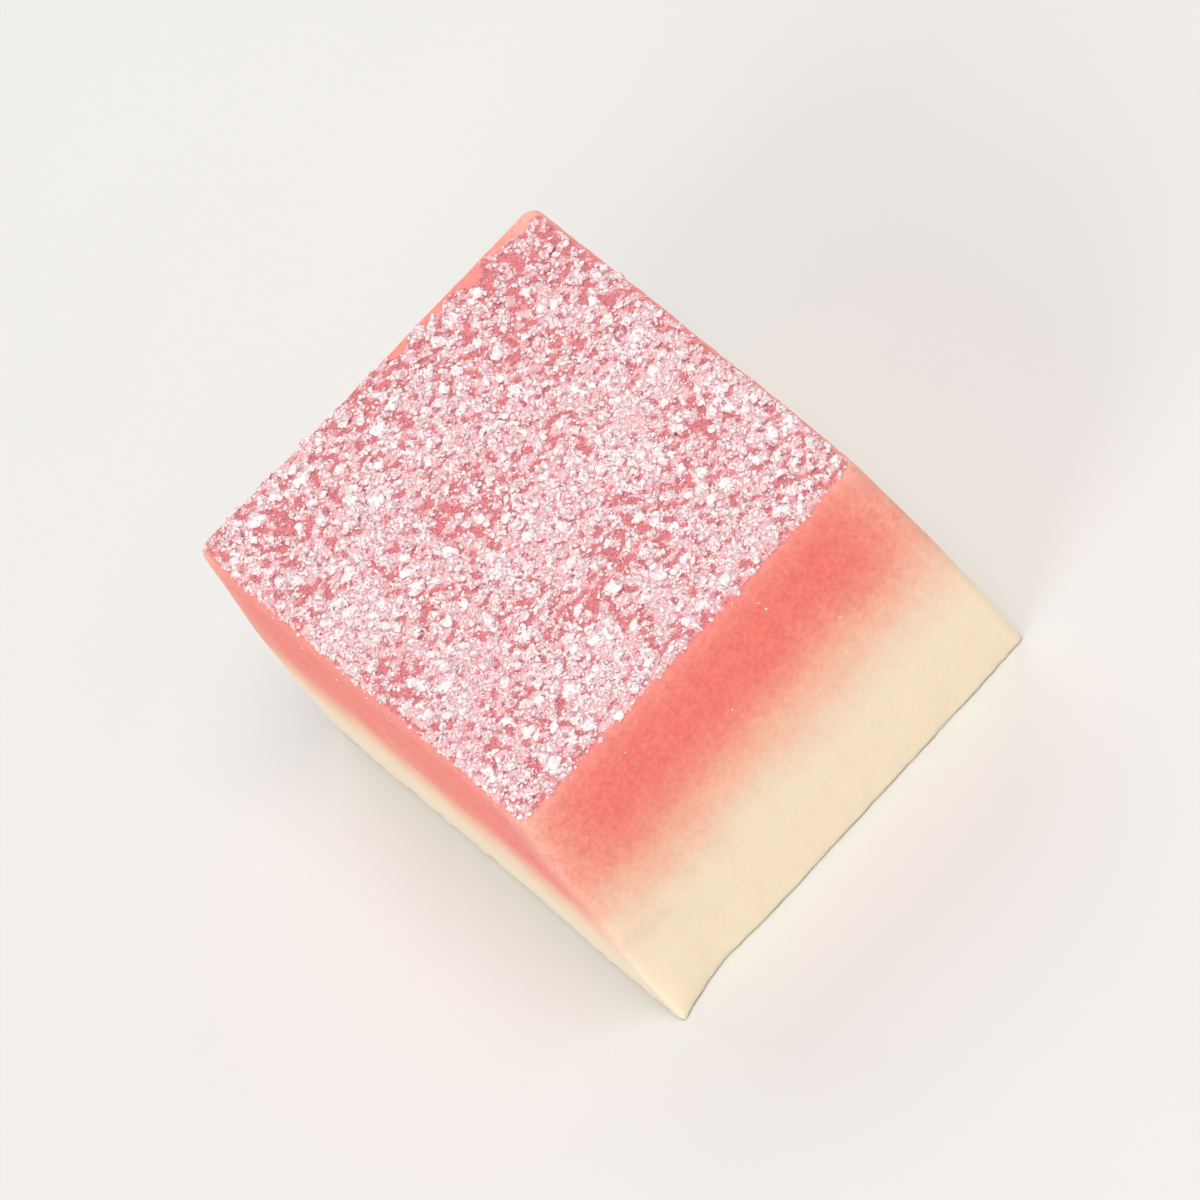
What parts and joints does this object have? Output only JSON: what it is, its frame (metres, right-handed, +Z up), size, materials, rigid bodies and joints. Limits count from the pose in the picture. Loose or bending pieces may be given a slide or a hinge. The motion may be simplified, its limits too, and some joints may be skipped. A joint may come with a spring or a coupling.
{
  "type": "nama chocolate",
  "caption": "Rectangular cut piece of layered nama chocolate: pink berry ganache over white ganache, soft eased edges and a sugar-dusted top.",
  "frame": {"origin": "middle of the flat base, on the surface the piece stands on", "axes": "+X along the long side of the piece, +Y across it, +Z up from the white layer to the sugared top"},
  "size_m": [0.0259, 0.0188, 0.0117],
  "materials": {
    "berry_ganache": "soft satin pink ganache, slightly translucent",
    "white_ganache": "soft satin ivory ganache, slightly translucent",
    "sugar": "matt white sifted sugar"
  },
  "bodies": {
    "root": {"berry_layer": "berry_ganache", "cream_layer": "white_ganache"}
  },
  "joints": []
}
